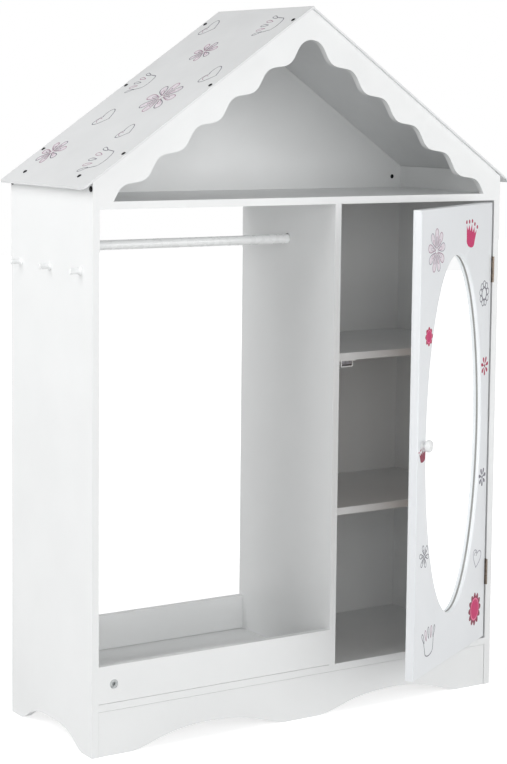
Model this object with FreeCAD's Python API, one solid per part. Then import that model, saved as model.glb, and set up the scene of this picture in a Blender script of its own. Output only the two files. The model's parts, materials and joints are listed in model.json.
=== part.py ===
import FreeCAD, Part
import math
import os
from collections import defaultdict

from FreeCAD import Matrix, Rotation, Vector

# A child's dress-up wardrobe, shaped like a little house. Millimetres, +Z up.
# x = 0 is the middle of the cabinet, y = 0 the plane of its front edges, +y runs to the back,
# z = 0 the floor. The door is drawn shut, then turned ajar; the last step moves the origin
# to the middle of the plan.

# ---- driving dimensions ----
WIDTH = 800.0              # over the side panels
DEPTH = 285.0              # of the side panels
BOARD = 12.0               # every board of the carcass
DOOR_BOARD = 15.0
SHELF_TOP = 873.8          # top of the shelf under the gable
BASE_TOP = 84.8            # top of the bottom board
EAVE_HEIGHT = 904.9        # underside of the roof, at the outer faces of the side panels
ROOF_TAN = 0.685           # rise of the roof over its run
ROOF_SHEET = 3.0
ROOF_OVERHANG_SIDE = 18.0
ROOF_OVERHANG_END = 4.0
DIVIDER_LEFT = 51.8        # left face of the divider, right of the middle
BIN_RAIL_HEIGHT = 60.4     # rails of the shoe bin, above the bottom board
SHELF_SETBACK = 16.0       # front edges of the two small shelves, behind the door
DOOR_AJAR_DEG = 30.0
DOOR_GAP = 1.8             # between door and divider
HINGE_GAP = 3.2            # between door and right side panel, holds both hinge leaves
DOOR_GAP_Z = 3.3           # above and below the door
OVAL_HALF_WIDTH = 124.0
OVAL_HALF_HEIGHT = 304.0
MIRROR_SHEET = 3.0
MIRROR_MARGIN = 6.0        # mirror beyond the edge of the oval opening
MIRROR_LEDGE = 6.0         # front of the door, left standing round the oval
MIRROR_TAPE = 1.8          # foam tape between the ledge and the mirror

# ---- derived ----
HALF = WIDTH / 2
INNER = HALF - BOARD
ROOF_ANGLE = math.atan(ROOF_TAN)
RIDGE_HEIGHT = EAVE_HEIGHT + HALF * ROOF_TAN
SHELF_UNDER = SHELF_TOP - BOARD
BASE_UNDER = BASE_TOP - BOARD
BACK_FACE = DEPTH - BOARD  # front face of the back boards
DIVIDER_RIGHT = DIVIDER_LEFT + BOARD
BIN_TOP = BASE_TOP + BIN_RAIL_HEIGHT
DOOR_LEFT = DIVIDER_RIGHT + DOOR_GAP
DOOR_RIGHT = INNER - HINGE_GAP
DOOR_BOTTOM = BASE_TOP + DOOR_GAP_Z
DOOR_TOP = SHELF_UNDER - DOOR_GAP_Z
DOOR_MID_X = (DOOR_LEFT + DOOR_RIGHT) / 2
DOOR_MID_Z = (DOOR_BOTTOM + DOOR_TOP) / 2
SMALL_SHELF_PITCH = (SHELF_UNDER - BASE_TOP + BOARD) / 3
LOWER_SHELF_TOP = BASE_TOP + SMALL_SHELF_PITCH
UPPER_SHELF_TOP = LOWER_SHELF_TOP + SMALL_SHELF_PITCH

X_AXIS = Vector(1, 0, 0)
Y_AXIS = Vector(0, 1, 0)
Z_AXIS = Vector(0, 0, 1)

pieces = {}
holes = defaultdict(list)  # node name: shapes to be cut out of it at the end


# ---- helpers ----
def board(x0, x1, y0, y1, z0, z1):
    """A straight board between two corners."""
    return Part.makeBox(x1 - x0, y1 - y0, z1 - z0, Vector(x0, y0, z0))


def rod(radius, start, axis, length):
    """A round rod that leaves the point start along axis."""
    return Part.makeCylinder(radius, length, Vector(*start), axis)


def prism_xz(points, y0, y1):
    """A solid with the outline points, (x, z) pairs, from y0 to y1."""
    corners = [Vector(x, y0, z) for x, z in points]
    outline = Part.makePolygon(corners + corners[:1])
    return Part.Face(outline).extrude(Vector(0, y1 - y0, 0))


def spline(points):
    """A smooth edge through the points."""
    curve = Part.BSplineCurve()
    curve.interpolate(points)
    return curve.toShape()


def line(start, end):
    return Part.LineSegment(start, end).toShape()


def mirrored_x(shape):
    """The same shape on the other side of the middle plane."""
    flip = Matrix()
    flip.scale(-1, 1, 1)
    return shape.transformGeometry(flip)


def turned(profile, start, axis):
    """A turned piece: (distance along axis, radius) pairs from start, spun about the axis."""
    rings = [Vector(radius, 0, along) for along, radius in profile]
    outline = [Vector(0, 0, profile[0][0])] + rings + [Vector(0, 0, profile[-1][0])]
    face = Part.Face(Part.makePolygon(outline + outline[:1]))
    solid = face.revolve(Vector(0, 0, 0), Z_AXIS, 360)
    solid.Placement = FreeCAD.Placement(Vector(*start), Rotation(Z_AXIS, axis))
    return solid


def turned_smooth(profile, start, axis):
    """A turned piece like the one above, whose outline is one smooth curve."""
    points = [Vector(radius, 0, along) for along, radius in profile]
    foot = Vector(0, 0, profile[0][0])
    tip = Vector(0, 0, profile[-1][0])
    edges = [line(foot, points[0]), spline(points), line(points[-1], tip), line(tip, foot)]
    solid = Part.Face(Part.Wire(edges)).revolve(Vector(0, 0, 0), Z_AXIS, 360)
    solid.Placement = FreeCAD.Placement(Vector(*start), Rotation(Z_AXIS, axis))
    return solid


SCREW_POINT_RADIUS = 0.3
COUNTERSINK_RIM = 0.4


def countersunk_screw(start, axis, head_radius, shank_radius, length):
    """A countersunk screw whose flat head is at start and whose point lies along axis."""
    cone = head_radius - shank_radius
    rim = COUNTERSINK_RIM
    profile = [
        (0, head_radius),
        (rim, head_radius),
        (rim + cone, shank_radius),
        (length - 2 * shank_radius, shank_radius),
        (length, SCREW_POINT_RADIUS),
    ]
    return turned(profile, start, axis)


def pan_screw(start, axis, head_radius, head_height, shank_radius, length):
    """A domed screw: the head's underside is at start and the shank runs along axis."""
    profile = [
        (-head_height, 0.55 * head_radius),
        (-0.6 * head_height, 0.88 * head_radius),
        (-0.2 * head_height, head_radius),
        (0, head_radius),
        (0, shank_radius),
        (length - 2 * shank_radius, shank_radius),
        (length, SCREW_POINT_RADIUS),
    ]
    return turned(profile, start, axis)


def cross_recess(start, axis, span, depth):
    """The cross-shaped tool recess of a screw head, cut inwards from start along axis."""
    width = span / 4
    bars = []
    for size_x, size_y in ((span, width), (width, span)):
        bars.append(Part.makeBox(size_x, size_y, depth, Vector(-size_x / 2, -size_y / 2, 0)))
    recess = bars[0].fuse(bars[1])
    recess.Placement = FreeCAD.Placement(Vector(*start), Rotation(Z_AXIS, axis))
    return recess


def fasten(screw, names):
    """Cut room for a fastener in each named node and give the fastener back."""
    for name in names:
        holes[name].append(screw)
    return screw


# ---- outlines ----
def foot_arch(length, half_outline):
    """Lower edge points of a board with a foot at each end: (distance from middle, height)."""
    left = [(length / 2 - reach, height) for reach, height in reversed(half_outline)]
    right = [(length / 2 + reach, height) for reach, height in half_outline[1:]]
    return left + right


SIDE_ARCH = [(0, 28.3), (40, 26.9), (62, 21.5), (84, 11.0), (98, 3.2), (110, 0)]
APRON_WAVE = [
    (34, 0),
    (66, 6.6),
    (100, 17.0),
    (145, 24.2),
    (190, 26.2),
    (245, 21.3),
    (275, 14.0),
    (300, 6.0),
    (326, 0),
]


SIDE_PANEL_GAP = 0.9       # open joint between the top of a side panel and the roof


def side_panel():
    """The left side panel: feet front and back, top edge bevelled to the roof."""
    arch = [Vector(-HALF, y, z) for y, z in foot_arch(DEPTH, SIDE_ARCH)]
    front_foot = Vector(-HALF, 0, 0)
    rear_foot = Vector(-HALF, DEPTH, 0)
    top = RIDGE_HEIGHT
    edges = [
        line(front_foot, arch[0]),
        spline(arch),
        line(arch[-1], rear_foot),
        line(rear_foot, Vector(-HALF, DEPTH, top)),
        line(Vector(-HALF, DEPTH, top), Vector(-HALF, 0, top)),
        line(Vector(-HALF, 0, top), front_foot),
    ]
    blank = Part.Face(Part.Wire(edges)).extrude(Vector(BOARD, 0, 0))
    return blank.common(house_prism(SIDE_PANEL_GAP))


def house_prism(gap=0.0):
    """Everything between the outer faces of the side panels, up to a gap under the roof."""
    eave = EAVE_HEIGHT - gap
    outline = [(-HALF, 0), (HALF, 0), (HALF, eave), (0, RIDGE_HEIGHT - gap), (-HALF, eave)]
    return prism_xz(outline, -BOARD, DEPTH + BOARD)


APRON_GAP = 0.7            # open joint round the apron, at the side panels and the bottom board
APRON_SETBACK = 1.0        # behind the front plane


def front_apron():
    """The board under the bottom board, with two arches and a lobe between them."""
    end = INNER - APRON_GAP
    top = BASE_UNDER - APRON_GAP
    right = [Vector(x, 0, z) for x, z in APRON_WAVE]
    left = [Vector(-x, 0, z) for x, z in reversed(APRON_WAVE)]
    edges = [
        line(Vector(-end, 0, 0), left[0]),
        spline(left),
        line(left[-1], right[0]),
        spline(right),
        line(right[-1], Vector(end, 0, 0)),
        line(Vector(end, 0, 0), Vector(end, 0, top)),
        line(Vector(end, 0, top), Vector(-end, 0, top)),
        line(Vector(-end, 0, top), Vector(-end, 0, 0)),
    ]
    apron = Part.Face(Part.Wire(edges)).extrude(Vector(0, BOARD, 0))
    apron.translate(Vector(0, APRON_SETBACK, 0))
    return apron


SCALLOP_PITCH = 80.4       # along the roof slope
SCALLOP_HALF_DEPTH = 6.75
SCALLOP_BAND = 43.0        # middle line of the scallops, square to the roof's underside
SCALLOP_START = 44.5       # first crest, along the slope from the ridge
SCALLOP_STEPS = 12         # points in one scallop


def scallop_point(along):
    """(x, z) of the right-hand scalloped edge, at a distance along the slope from the ridge."""
    phase = 2 * math.pi * (along - SCALLOP_START) / SCALLOP_PITCH
    inward = SCALLOP_BAND - SCALLOP_HALF_DEPTH * math.cos(phase)
    x = along * math.cos(ROOF_ANGLE) - inward * math.sin(ROOF_ANGLE)
    z = RIDGE_HEIGHT - along * math.sin(ROOF_ANGLE) - inward * math.cos(ROOF_ANGLE)
    return x, z


def crossing(measure, low, high):
    """Where a rising measure reaches zero, by halving."""
    for _ in range(60):
        middle = (low + high) / 2
        if measure(middle) < 0:
            low = middle
        else:
            high = middle
    return low


def gable_fascia():
    """The front gable board: two slopes with a scalloped inner edge, standing on the shelf."""
    roof_length = HALF / math.cos(ROOF_ANGLE)
    first = crossing(lambda s: scallop_point(s)[0], 0, SCALLOP_START)
    last = crossing(lambda s: SHELF_TOP - scallop_point(s)[1], 0.8 * roof_length, roof_length)
    count = int(SCALLOP_STEPS * (last - first) / SCALLOP_PITCH)
    stations = [first + (last - first) * step / count for step in range(count + 1)]
    edge = [scallop_point(station) for station in stations]
    right = [Vector(x, 0, z) for x, z in edge]
    left = [Vector(-point.x, 0, point.z) for point in right]
    outline = [spline(right), line(right[-1], left[-1]), spline(left[::-1])]
    opening = Part.Face(Part.Wire(outline)).extrude(Vector(0, BOARD, 0))
    blank = board(-INNER, INNER, 0, BOARD, SHELF_TOP, RIDGE_HEIGHT).common(house_prism())
    return blank.cut(opening)


ROOF_CORNER_RADIUS = 7.0


def roof_panels():
    """The two thin roof sheets. The left one laps over the end of the right one at the ridge."""
    rise = ROOF_SHEET / math.cos(ROOF_ANGLE)
    lap = rise / 2 / ROOF_TAN
    lift = Vector(ROOF_SHEET * math.sin(ROOF_ANGLE), 0, ROOF_SHEET * math.cos(ROOF_ANGLE))
    eave_x = HALF + ROOF_OVERHANG_SIDE
    eave_z = EAVE_HEIGHT - ROOF_OVERHANG_SIDE * ROOF_TAN
    lap_z = RIDGE_HEIGHT + lap * ROOF_TAN
    front = -ROOF_OVERHANG_END
    back = DEPTH + ROOF_OVERHANG_END
    left_outline = [
        (-eave_x, eave_z),
        (lap, lap_z),
        (lap - lift.x, lap_z + lift.z),
        (-eave_x - lift.x, eave_z + lift.z),
    ]
    right_outline = [
        (eave_x, eave_z),
        (0, RIDGE_HEIGHT),
        (lap, lap_z),
        (eave_x + lift.x, eave_z + lift.z),
    ]
    panels = []
    for outline in (left_outline, right_outline):
        sheet = prism_xz(outline, front, back)
        corners = [edge for edge in sheet.Edges if is_eave_corner(edge)]
        panels.append(sheet.makeFillet(ROOF_CORNER_RADIUS, corners))
    return panels


def is_eave_corner(edge):
    """True for the short edges through the thickness of a roof sheet, at the eave."""
    middle = edge.CenterOfMass
    return abs(edge.Length - ROOF_SHEET) < 0.01 and abs(middle.x) > HALF


# ---- carcass ----
BIN_RAIL_GAP = 0.6         # open joint between the bin's rails and the bottom board


def build_carcass():
    left_panel = side_panel()
    pieces["left_side_panel"] = left_panel
    pieces["right_side_panel"] = mirrored_x(left_panel)
    pieces["top_shelf"] = board(-INNER, INNER, 0, DEPTH, SHELF_UNDER, SHELF_TOP)
    pieces["bottom_board"] = board(-INNER, INNER, 0, DEPTH, BASE_UNDER, BASE_TOP)
    pieces["centre_divider"] = board(DIVIDER_LEFT, DIVIDER_RIGHT, 0, DEPTH, BASE_TOP, SHELF_UNDER)
    pieces["front_apron"] = front_apron()
    bin_low = BASE_TOP + BIN_RAIL_GAP
    pieces["bin_front_rail"] = board(-INNER, DIVIDER_LEFT, 0, BOARD, bin_low, BIN_TOP)
    pieces["bin_back_rail"] = board(-INNER, DIVIDER_LEFT, BACK_FACE, DEPTH, bin_low, BIN_TOP)
    pieces["gable_fascia"] = gable_fascia()
    gable = board(-INNER, INNER, BACK_FACE, DEPTH, SHELF_TOP, RIDGE_HEIGHT)
    pieces["gable_back_panel"] = gable.common(house_prism())
    pieces["compartment_back_panel"] = board(
        DIVIDER_RIGHT, INNER, BACK_FACE, DEPTH, BASE_TOP, SHELF_UNDER
    )
    for name, top in (("upper_shelf", UPPER_SHELF_TOP), ("lower_shelf", LOWER_SHELF_TOP)):
        pieces[name] = board(DIVIDER_RIGHT, INNER, SHELF_SETBACK, BACK_FACE, top - BOARD, top)
    left_roof, right_roof = roof_panels()
    pieces["left_roof_panel"] = left_roof
    pieces["right_roof_panel"] = right_roof


# ---- hanging rail and coat pegs ----
RAIL_RADIUS = 8.0
RAIL_HEIGHT = 795.5
RAIL_SOCKET = 5.0          # depth of the blind hole at each end of the rail
RAIL_SOCKET_RADIUS = 9.0   # the rail rests on the bottom of this hole
PEG_HEIGHT = 765.0
PEG_MIDDLE = 145.0         # of the middle peg, behind the front plane
PEG_SPACING = 104.0
PEG_LENGTH = 19.4          # clear of the side panel
PEG_SPIGOT = 8.0           # glued into the side panel
PEG_SPIGOT_RADIUS = 3.5
PEG_OUTLINE = [
    (0, 6.8),
    (0.9, 6.7),
    (2.6, 5.3),
    (5.5, 4.4),
    (9.5, 4.1),
    (13.5, 4.2),
    (17.0, 4.5),
    (18.6, 4.3),
    (PEG_LENGTH, 3.2),
]


def build_rail_and_pegs():
    start = (-INNER - RAIL_SOCKET, DEPTH / 2, RAIL_HEIGHT)
    length = INNER + DIVIDER_LEFT + 2 * RAIL_SOCKET
    pieces["hanging_rail"] = rod(RAIL_RADIUS, start, X_AXIS, length)
    socket_z = RAIL_HEIGHT + RAIL_SOCKET_RADIUS - RAIL_RADIUS
    for name, x in (("left_side_panel", -INNER - RAIL_SOCKET), ("centre_divider", DIVIDER_LEFT)):
        holes[name].append(rod(RAIL_SOCKET_RADIUS, (x, DEPTH / 2, socket_z), X_AXIS, RAIL_SOCKET))

    places = {"front": -PEG_SPACING, "middle": 0, "rear": PEG_SPACING}
    for place, offset in places.items():
        foot = (-HALF, PEG_MIDDLE + offset, PEG_HEIGHT)
        spigot = rod(PEG_SPIGOT_RADIUS, foot, X_AXIS, PEG_SPIGOT)
        peg = turned_smooth(PEG_OUTLINE, foot, -X_AXIS).fuse(spigot)
        pieces["coat_peg_" + place] = peg
        holes["left_side_panel"].append(spigot)


# ---- fasteners of the carcass ----
CAM_RADIUS = 7.3
CAM_HOLE_RADIUS = 7.5
CAM_HOLE_DEPTH = 10.0
CAM_RECESS = 0.8           # from the board's face down to the cam's face
CAM_INSET = 27.4           # from the joint to the middle of the cam
CAM_DOWEL_RADIUS = 3.0
CAM_DOWEL_GRIP = 8.0       # in the side panel
CAM_HEX = 5.0              # across flats
CAM_HEX_DEPTH = 4.0
DOWEL_RADIUS = 4.0
DOWEL_SHORT = 8.0          # end in the face of a board
DOWEL_LONG = 16.0          # end in the edge of a board
FASCIA_DOWEL = 12.0        # end in the foot of the fascia, under the barrel nut
FASCIA_DOWEL_INSET = 14.0  # from the side panel
FRONT_ROW = 45.0           # of the cams and dowels along the depth of a board


def cam_fitting(side, y, z, face_axis, board_name):
    """A cam lock in a board's end, and its dowel in the side panel on that side (-1 or 1).

    face_axis points out of the face the lock is let into; (y, z) is the board's mid-thickness.
    """
    panel = "left_side_panel" if side < 0 else "right_side_panel"
    middle = Vector(side * (INNER - CAM_INSET), y, z)
    mouth = middle + face_axis * (BOARD / 2)
    face = mouth - face_axis * CAM_RECESS
    hole = Part.makeCylinder(CAM_HOLE_RADIUS, CAM_HOLE_DEPTH, mouth, face_axis * -1)
    lock = Part.makeCylinder(CAM_RADIUS, CAM_HOLE_DEPTH - CAM_RECESS, face, face_axis * -1)
    pin_start = Vector(side * (INNER + CAM_DOWEL_GRIP), y, z)
    pin_length = CAM_INSET + CAM_DOWEL_GRIP - CAM_DOWEL_RADIUS
    pin = Part.makeCylinder(CAM_DOWEL_RADIUS, pin_length, pin_start, X_AXIS * -side)
    corner = CAM_HEX / math.sqrt(3)
    turn = Rotation(Z_AXIS, face_axis * -1)
    spokes = [math.radians(60 * index) for index in range(7)]
    ring = [Vector(corner * math.cos(spoke), corner * math.sin(spoke), 0) for spoke in spokes]
    hexagon = Part.Face(Part.makePolygon(ring)).extrude(Vector(0, 0, CAM_HEX_DEPTH))
    hexagon.Placement = FreeCAD.Placement(face, turn)
    holes[board_name] += [hole, pin]
    holes[panel].append(pin)
    return lock.cut([pin, hexagon]), pin


def dowel(middle, axis, before, after, names):
    """A wooden dowel through the point middle, reaching before behind it and after past it."""
    start = Vector(*middle) - axis * before
    return fasten(Part.makeCylinder(DOWEL_RADIUS, before + after, start, axis), names)


def build_carcass_fasteners():
    rows = (FRONT_ROW, DEPTH - FRONT_ROW)
    fittings = []
    for name, top in (("top_shelf", SHELF_TOP), ("bottom_board", BASE_TOP)):
        for side in (-1, 1):
            for y in rows:
                fittings.append(cam_fitting(side, y, top - BOARD / 2, -Z_AXIS, name))
    rail_z = BASE_TOP + BIN_RAIL_HEIGHT / 2
    fittings.append(cam_fitting(-1, BOARD / 2, rail_z, -Y_AXIS, "bin_front_rail"))
    fittings.append(cam_fitting(-1, DEPTH - BOARD / 2, rail_z, Y_AXIS, "bin_back_rail"))
    pieces["cam_locks"] = Part.makeCompound([lock for lock, pin in fittings])
    pieces["cam_dowels"] = Part.makeCompound([pin for lock, pin in fittings])

    dowels = []
    divider_x = DIVIDER_LEFT + BOARD / 2
    for y in rows:
        top = (divider_x, y, SHELF_UNDER)
        foot = (divider_x, y, BASE_TOP)
        dowels.append(dowel(top, Z_AXIS, DOWEL_LONG, DOWEL_SHORT, ["centre_divider", "top_shelf"]))
        dowels.append(dowel(foot, Z_AXIS, DOWEL_SHORT, DOWEL_LONG, ["centre_divider", "bottom_board"]))
    for name, top in (("upper_shelf", UPPER_SHELF_TOP), ("lower_shelf", LOWER_SHELF_TOP)):
        for y in rows:
            left = (DIVIDER_RIGHT, y, top - BOARD / 2)
            right = (INNER, y, top - BOARD / 2)
            dowels.append(dowel(left, X_AXIS, DOWEL_SHORT, DOWEL_LONG, ["centre_divider", name]))
            dowels.append(dowel(right, X_AXIS, DOWEL_LONG, DOWEL_SHORT, ["right_side_panel", name]))
    for name, y in (("bin_front_rail", BOARD / 2), ("bin_back_rail", DEPTH - BOARD / 2)):
        end = (DIVIDER_LEFT, y, rail_z)
        dowels.append(dowel(end, X_AXIS, DOWEL_LONG, DOWEL_SHORT, [name, "centre_divider"]))
    for side, panel in ((-1, "left_side_panel"), (1, "right_side_panel")):
        apron_end = (side * INNER, APRON_SETBACK + BOARD / 2, BASE_UNDER / 2)
        axis = X_AXIS * side
        dowels.append(dowel(apron_end, axis, DOWEL_LONG, DOWEL_SHORT, ["front_apron", panel]))
        fascia_foot = (side * (INNER - FASCIA_DOWEL_INSET), BOARD / 2, SHELF_TOP)
        dowels.append(dowel(fascia_foot, Z_AXIS, DOWEL_SHORT, FASCIA_DOWEL, ["gable_fascia", "top_shelf"]))
        gable_foot = (side * HALF / 2, DEPTH - BOARD / 2, SHELF_TOP)
        names = ["gable_back_panel", "top_shelf"]
        dowels.append(dowel(gable_foot, Z_AXIS, DOWEL_SHORT, DOWEL_LONG, names))
    for x in (DIVIDER_RIGHT + FRONT_ROW, INNER - FRONT_ROW):
        foot = (x, DEPTH - BOARD / 2, BASE_TOP)
        names = ["compartment_back_panel", "bottom_board"]
        dowels.append(dowel(foot, Z_AXIS, DOWEL_SHORT, DOWEL_LONG, names))
    pieces["wooden_dowels"] = Part.makeCompound(dowels)


ROOF_SCREW_FIRST = 31.0    # from the middle of the cabinet
ROOF_SCREW_SPACING = 155.5
ROOF_SCREW_HEAD = 3.8
ROOF_SCREW_HEAD_HEIGHT = 1.5
ROOF_SCREW_SHANK = 1.6
ROOF_SCREW_LENGTH = 12.0
EAVE_SCREW_ROWS = (53.0, 241.5)
CROSS_SPAN = 3.2           # of the tool recess in a roof screw or bolt head
CROSS_DEPTH = 1.2


def roof_screw(side, x, y, holder):
    """A screw square to the roof, through the sheet over the point (x, y)."""
    outward = Vector(side * math.sin(ROOF_ANGLE), 0, math.cos(ROOF_ANGLE))
    on_underside = Vector(side * x, y, RIDGE_HEIGHT - x * ROOF_TAN)
    start = on_underside + outward * ROOF_SHEET
    panel = "left_roof_panel" if side < 0 else "right_roof_panel"
    inward = outward * -1
    screw = pan_screw(
        start, inward, ROOF_SCREW_HEAD, ROOF_SCREW_HEAD_HEIGHT, ROOF_SCREW_SHANK, ROOF_SCREW_LENGTH
    )
    fasten(screw, [panel, holder])
    return screw.cut(cross_recess(start + outward * ROOF_SCREW_HEAD_HEIGHT, inward, CROSS_SPAN, CROSS_DEPTH))


def build_roof_screws():
    screws = []
    for side, side_name in ((-1, "left_side_panel"), (1, "right_side_panel")):
        for index in range(3):
            x = ROOF_SCREW_FIRST + index * ROOF_SCREW_SPACING
            screws.append(roof_screw(side, x, BOARD / 2, "gable_fascia"))
            screws.append(roof_screw(side, x, DEPTH - BOARD / 2, "gable_back_panel"))
        for y in EAVE_SCREW_ROWS:
            screws.append(roof_screw(side, HALF - BOARD / 2, y, side_name))
    pieces["roof_screws"] = Part.makeCompound(screws)


GABLE_BOLT_RISE = 19.5     # above the shelf
GABLE_BOLT_RADIUS = 2.0
GABLE_BOLT_HEAD = 4.7
GABLE_BOLT_HEAD_HEIGHT = 2.0
GABLE_BOLT_LENGTH = 34.0
BARREL_NUT_RADIUS = 4.0
BARREL_NUT_INSET = 18.0    # from the inner face of the side panel
BARREL_NUT_DEPTH = 9.5     # of its blind hole in the gable board
BARREL_NUT_RECESS = 1.0


def build_gable_bolts():
    """The two gable boards are bolted to the side panels; each bolt ends in a barrel nut."""
    bolts = []
    nuts = []
    gables = (
        ("gable_fascia", BOARD / 2, BOARD, -Y_AXIS),
        ("gable_back_panel", DEPTH - BOARD / 2, BACK_FACE, Y_AXIS),
    )
    z = SHELF_TOP + GABLE_BOLT_RISE
    for side, panel in ((-1, "left_side_panel"), (1, "right_side_panel")):
        for gable, bolt_y, mouth_y, into_board in gables:
            start = Vector(side * HALF, bolt_y, z)
            inward = X_AXIS * -side
            bolt = pan_screw(
                start, inward, GABLE_BOLT_HEAD, GABLE_BOLT_HEAD_HEIGHT, GABLE_BOLT_RADIUS, GABLE_BOLT_LENGTH
            )
            holes[panel].append(bolt)
            holes[gable].append(bolt)
            head_top = start - inward * GABLE_BOLT_HEAD_HEIGHT
            bolts.append(bolt.cut(cross_recess(head_top, inward, CROSS_SPAN, CROSS_DEPTH)))
            mouth = Vector(side * (INNER - BARREL_NUT_INSET), mouth_y, z)
            holes[gable].append(Part.makeCylinder(BARREL_NUT_RADIUS, BARREL_NUT_DEPTH, mouth, into_board))
            nut_face = mouth + into_board * BARREL_NUT_RECESS
            nut_length = BARREL_NUT_DEPTH - BARREL_NUT_RECESS
            nut = Part.makeCylinder(BARREL_NUT_RADIUS, nut_length, nut_face, into_board)
            nuts.append(nut.cut(bolt))
    pieces["gable_bolts"] = Part.makeCompound(bolts)
    pieces["gable_barrel_nuts"] = Part.makeCompound(nuts)


# ---- magnetic catch ----
CATCH_X = 90.5             # middle of the catch
CATCH_WIDTH = 24.0
CATCH_FLANGE = 40.0        # width over its two screw ears
CATCH_EAR_SHEET = 2.2
CATCH_HEIGHT = 12.0
CATCH_DEPTH = 15.0
CATCH_PROUD = 0.2          # of the case, ahead of the shelf's front edge
CATCH_WALL = 1.8           # sides, back and bottom of the case round the magnet
CATCH_POLE_PROUD = 0.4     # of the pole plates, ahead of the case
CATCH_LOWER_POLE = 0.8     # heights of the plates and the magnet between them
CATCH_MAGNET = 2.0
CATCH_UPPER_POLE = 6.0
CATCH_SCREW = (2.7, 1.4, 1.4, 11.0)       # head radius, head height, shank radius, length
STRIKE_SHEET = 1.2
STRIKE_RECESS = 1.0        # of the plate, let into the back of the door
STRIKE_WIDTH = 22.0
STRIKE_HEIGHT = 14.0
STRIKE_SCREW = (2.4, 1.4, 9.0)            # head radius, shank radius, length


def build_catch():
    """A magnetic catch under the upper small shelf, and its strike plate on the door."""
    top = UPPER_SHELF_TOP - BOARD
    low = top - CATCH_HEIGHT
    front = SHELF_SETBACK - CATCH_PROUD
    back = SHELF_SETBACK + CATCH_DEPTH
    case = board(CATCH_X - CATCH_WIDTH / 2, CATCH_X + CATCH_WIDTH / 2, front, back, low, top)
    ear_x = CATCH_FLANGE / 2
    ears = board(CATCH_X - ear_x, CATCH_X + ear_x, SHELF_SETBACK + 1, back, top - CATCH_EAR_SHEET, top)
    case = case.fuse(ears).removeSplitter()

    pocket_x = CATCH_WIDTH / 2 - CATCH_WALL
    layers = []
    z = low + CATCH_WALL
    for height, proud in (
        (CATCH_LOWER_POLE, CATCH_POLE_PROUD),
        (CATCH_MAGNET, 0),
        (CATCH_UPPER_POLE, CATCH_POLE_PROUD),
    ):
        y0 = front - proud
        layers.append(board(CATCH_X - pocket_x, CATCH_X + pocket_x, y0, back - CATCH_WALL, z, z + height))
        z += height
    lower_pole, magnet, upper_pole = layers
    magnet_middle = magnet.CenterOfMass.z
    pieces["catch_magnet"] = magnet
    pieces["catch_pole_plates"] = Part.makeCompound([lower_pole, upper_pole])

    head_radius, head_height, shank_radius, length = CATCH_SCREW
    screws = []
    for side in (-1, 1):
        ear_middle = side * (CATCH_WIDTH + CATCH_FLANGE) / 4
        start = (CATCH_X + ear_middle, SHELF_SETBACK + CATCH_DEPTH / 2, top - CATCH_EAR_SHEET)
        screw = pan_screw(start, Z_AXIS, head_radius, head_height, shank_radius, length)
        screws.append(fasten(screw, ["magnetic_catch", "upper_shelf"]))
    pieces["magnetic_catch"] = case.cut(layers)
    pieces["catch_screws"] = Part.makeCompound(screws)

    # on the back of the door, facing the magnet
    half_width = STRIKE_WIDTH / 2
    half_height = STRIKE_HEIGHT / 2
    x0, x1 = CATCH_X - half_width, CATCH_X + half_width
    z0, z1 = magnet_middle - half_height, magnet_middle + half_height
    back_face = DOOR_BOARD - STRIKE_RECESS
    plate = board(x0, x1, back_face, back_face + STRIKE_SHEET, z0, z1)
    head_radius, shank_radius, length = STRIKE_SCREW
    start = (CATCH_X, back_face + STRIKE_SHEET, magnet_middle)
    screw = countersunk_screw(start, -Y_AXIS, head_radius, shank_radius, length)
    holes["door_panel"].append(plate)
    pieces["strike_plate"] = plate.cut(screw)
    pieces["strike_plate_screw"] = fasten(screw, ["door_panel"])


# ---- hinges ----
HINGE_HEIGHT = 45.0
HINGE_LEAF = 1.0
HINGE_LEAF_DEPTH = 10.5
HINGE_BARREL = 2.1         # outer radius of the knuckles
HINGE_PIN = 1.0            # radius
HINGE_PIN_PLAY = 0.05
HINGE_KNUCKLES = 5
HINGE_SLACK = 0.3          # between neighbouring knuckles
HINGE_X = INNER - HINGE_GAP / 2
HINGE_Y = -2.3             # the barrel stands just clear of the boards' front edges
HINGE_INSET = 117.0        # from the door's top and bottom edges to the hinge's middle
HINGE_SCREW_OFFSET = 13.5  # above and below the hinge's middle
HINGE_SCREW_DEPTH = 5.8    # behind the front edge of the leaf
HINGE_SCREW_HEAD = 1.9
HINGE_SCREW_SHANK = 1.1
CABINET_HINGE_SCREW = 10.0
DOOR_HINGE_SCREW = 14.0


def hinge_leaf(on_door, low):
    """One leaf of a butt hinge, with its own knuckles round the pin."""
    if on_door:
        x0, x1 = DOOR_RIGHT, DOOR_RIGHT + HINGE_LEAF
        owned = range(1, HINGE_KNUCKLES, 2)
    else:
        x0, x1 = INNER - HINGE_LEAF, INNER
        owned = range(0, HINGE_KNUCKLES, 2)
    leaf = board(x0, x1, 0, HINGE_LEAF_DEPTH, low, low + HINGE_HEIGHT)
    pitch = HINGE_HEIGHT / HINGE_KNUCKLES
    for index in owned:
        z0 = low + index * pitch + HINGE_SLACK / 2
        height = pitch - HINGE_SLACK
        knuckle = rod(HINGE_BARREL, (HINGE_X, HINGE_Y, z0), Z_AXIS, height)
        tab = board(x0, x1, HINGE_Y, 0, z0, z0 + height)
        leaf = leaf.fuse([knuckle, tab])
    bore = HINGE_PIN + (HINGE_PIN_PLAY if on_door else 0)
    overrun = 1.0
    cutter = rod(bore, (HINGE_X, HINGE_Y, low - overrun), Z_AXIS, HINGE_HEIGHT + 2 * overrun)
    return leaf.cut(cutter)


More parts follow.
